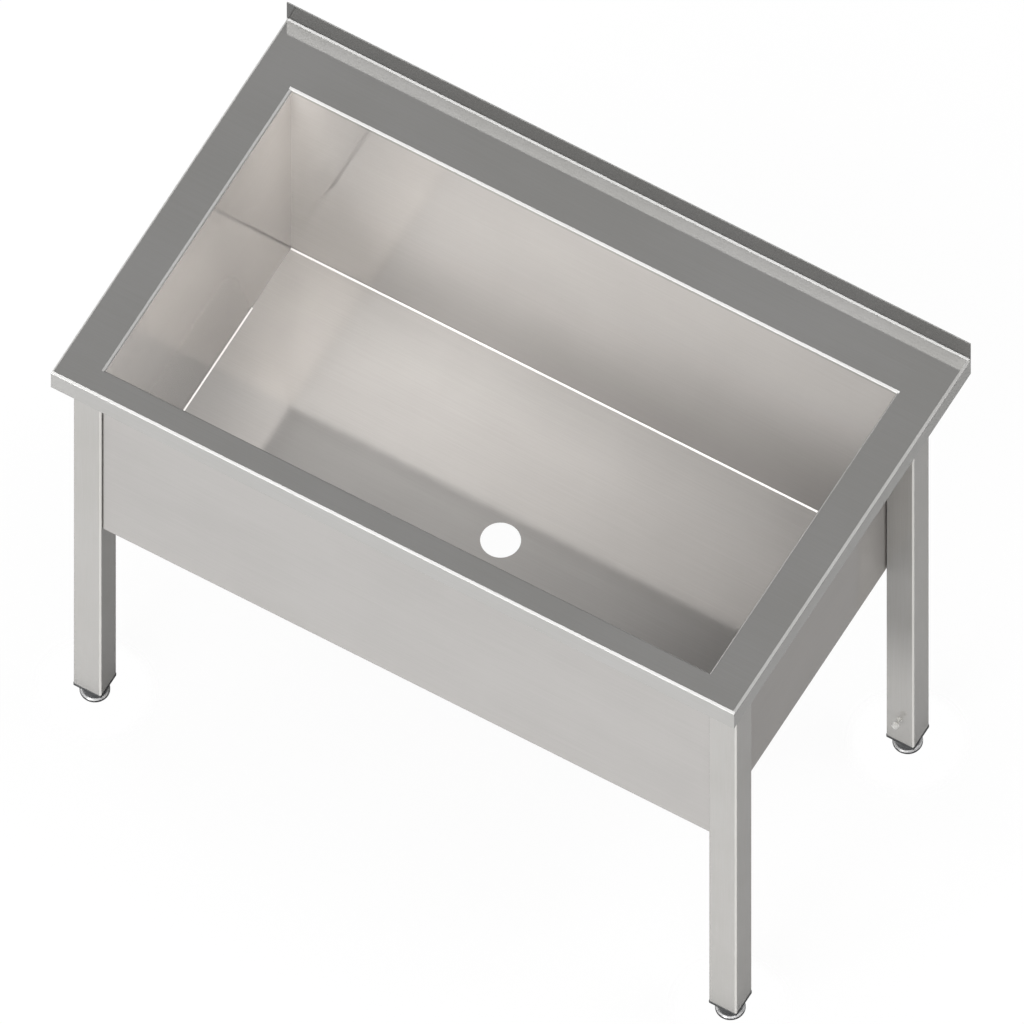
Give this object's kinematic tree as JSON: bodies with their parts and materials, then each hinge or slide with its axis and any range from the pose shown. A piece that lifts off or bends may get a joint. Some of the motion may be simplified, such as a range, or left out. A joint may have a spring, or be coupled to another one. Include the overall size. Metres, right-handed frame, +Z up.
{
  "type": "utility laundry sink",
  "caption": "Free-standing stainless laundry sink: folded deck with low upstand, deep square-cornered bowl, tube legs and screw feet.",
  "frame": {"origin": "middle of the deck's footprint, on the floor", "axes": "+X to the right along the deck, +Y from the front to the back, +Z up"},
  "size_m": [1, 0.6, 0.89],
  "materials": {
    "deck_steel": "bright satin stainless sheet",
    "bowl_steel": "bright satin stainless sheet",
    "leg_steel": "bright satin stainless tube",
    "plate_steel": "plain stainless plate",
    "fastener_steel": "plain stainless fasteners",
    "insert_steel": "zinc-plated steel",
    "plug_plastic": "moulded dark grey nylon",
    "foot_plastic": "moulded dark grey nylon, glossy"
  },
  "bodies": {
    "root": {"deck": "deck_steel", "bowl_wrap": "bowl_steel", "bowl_end_left": "bowl_steel", "bowl_end_right": "bowl_steel", "leg_front_left": "leg_steel", "leg_front_right": "leg_steel", "leg_rear_left": "leg_steel", "leg_rear_right": "leg_steel", "leg_plate_front_left": "plate_steel", "leg_plate_front_right": "plate_steel", "leg_plate_rear_left": "plate_steel", "leg_plate_rear_right": "plate_steel", "deck_studs": "fastener_steel", "deck_washers": "fastener_steel", "deck_nuts": "fastener_steel", "leg_plug_front_left": "plug_plastic", "leg_plug_front_right": "plug_plastic", "leg_plug_rear_left": "plug_plastic", "leg_plug_rear_right": "plug_plastic", "plug_inserts": "insert_steel", "earth_stud": "fastener_steel", "earth_washer": "fastener_steel", "earth_nut": "fastener_steel"},
    "base_front_left": {"foot_base_front_left": "foot_plastic"},
    "screw_front_left": {"foot_stud_front_left": "fastener_steel", "foot_knob_front_left": "foot_plastic"},
    "base_front_right": {"foot_base_front_right": "foot_plastic"},
    "screw_front_right": {"foot_stud_front_right": "fastener_steel", "foot_knob_front_right": "foot_plastic"},
    "base_rear_left": {"foot_base_rear_left": "foot_plastic"},
    "screw_rear_left": {"foot_stud_rear_left": "fastener_steel", "foot_knob_rear_left": "foot_plastic"},
    "base_rear_right": {"foot_base_rear_right": "foot_plastic"},
    "screw_rear_right": {"foot_stud_rear_right": "fastener_steel", "foot_knob_rear_right": "foot_plastic"}
  },
  "joints": [
    {"name": "foot_height_front_left", "type": "slide", "parent": "root", "child": "base_front_left", "axis": [0, 0, -1], "range_m": [0, 0.05]},
    {"name": "foot_turn_front_left", "type": "hinge", "parent": "base_front_left", "child": "screw_front_left", "pos_m": [-0.465, -0.249, 0], "axis": [0, 0, -1], "range_deg": [0, 12001]},
    {"name": "foot_height_front_right", "type": "slide", "parent": "root", "child": "base_front_right", "axis": [0, 0, -1], "range_m": [0, 0.05]},
    {"name": "foot_turn_front_right", "type": "hinge", "parent": "base_front_right", "child": "screw_front_right", "pos_m": [0.465, -0.249, 0], "axis": [0, 0, -1], "range_deg": [0, 12001]},
    {"name": "foot_height_rear_left", "type": "slide", "parent": "root", "child": "base_rear_left", "axis": [0, 0, -1], "range_m": [0, 0.05]},
    {"name": "foot_turn_rear_left", "type": "hinge", "parent": "base_rear_left", "child": "screw_rear_left", "pos_m": [-0.465, 0.2005, 0], "axis": [0, 0, -1], "range_deg": [0, 12001]},
    {"name": "foot_height_rear_right", "type": "slide", "parent": "root", "child": "base_rear_right", "axis": [0, 0, -1], "range_m": [0, 0.05]},
    {"name": "foot_turn_rear_right", "type": "hinge", "parent": "base_rear_right", "child": "screw_rear_right", "pos_m": [0.465, 0.2005, 0], "axis": [0, 0, -1], "range_deg": [0, 12001]}
  ],
  "couplings": [
    {"joint": "foot_turn_front_left", "follows": "foot_height_front_left", "rad_per_m": 4188.8},
    {"joint": "foot_turn_front_right", "follows": "foot_height_front_right", "rad_per_m": 4188.8},
    {"joint": "foot_turn_rear_left", "follows": "foot_height_rear_left", "rad_per_m": 4188.8},
    {"joint": "foot_turn_rear_right", "follows": "foot_height_rear_right", "rad_per_m": 4188.8}
  ]
}
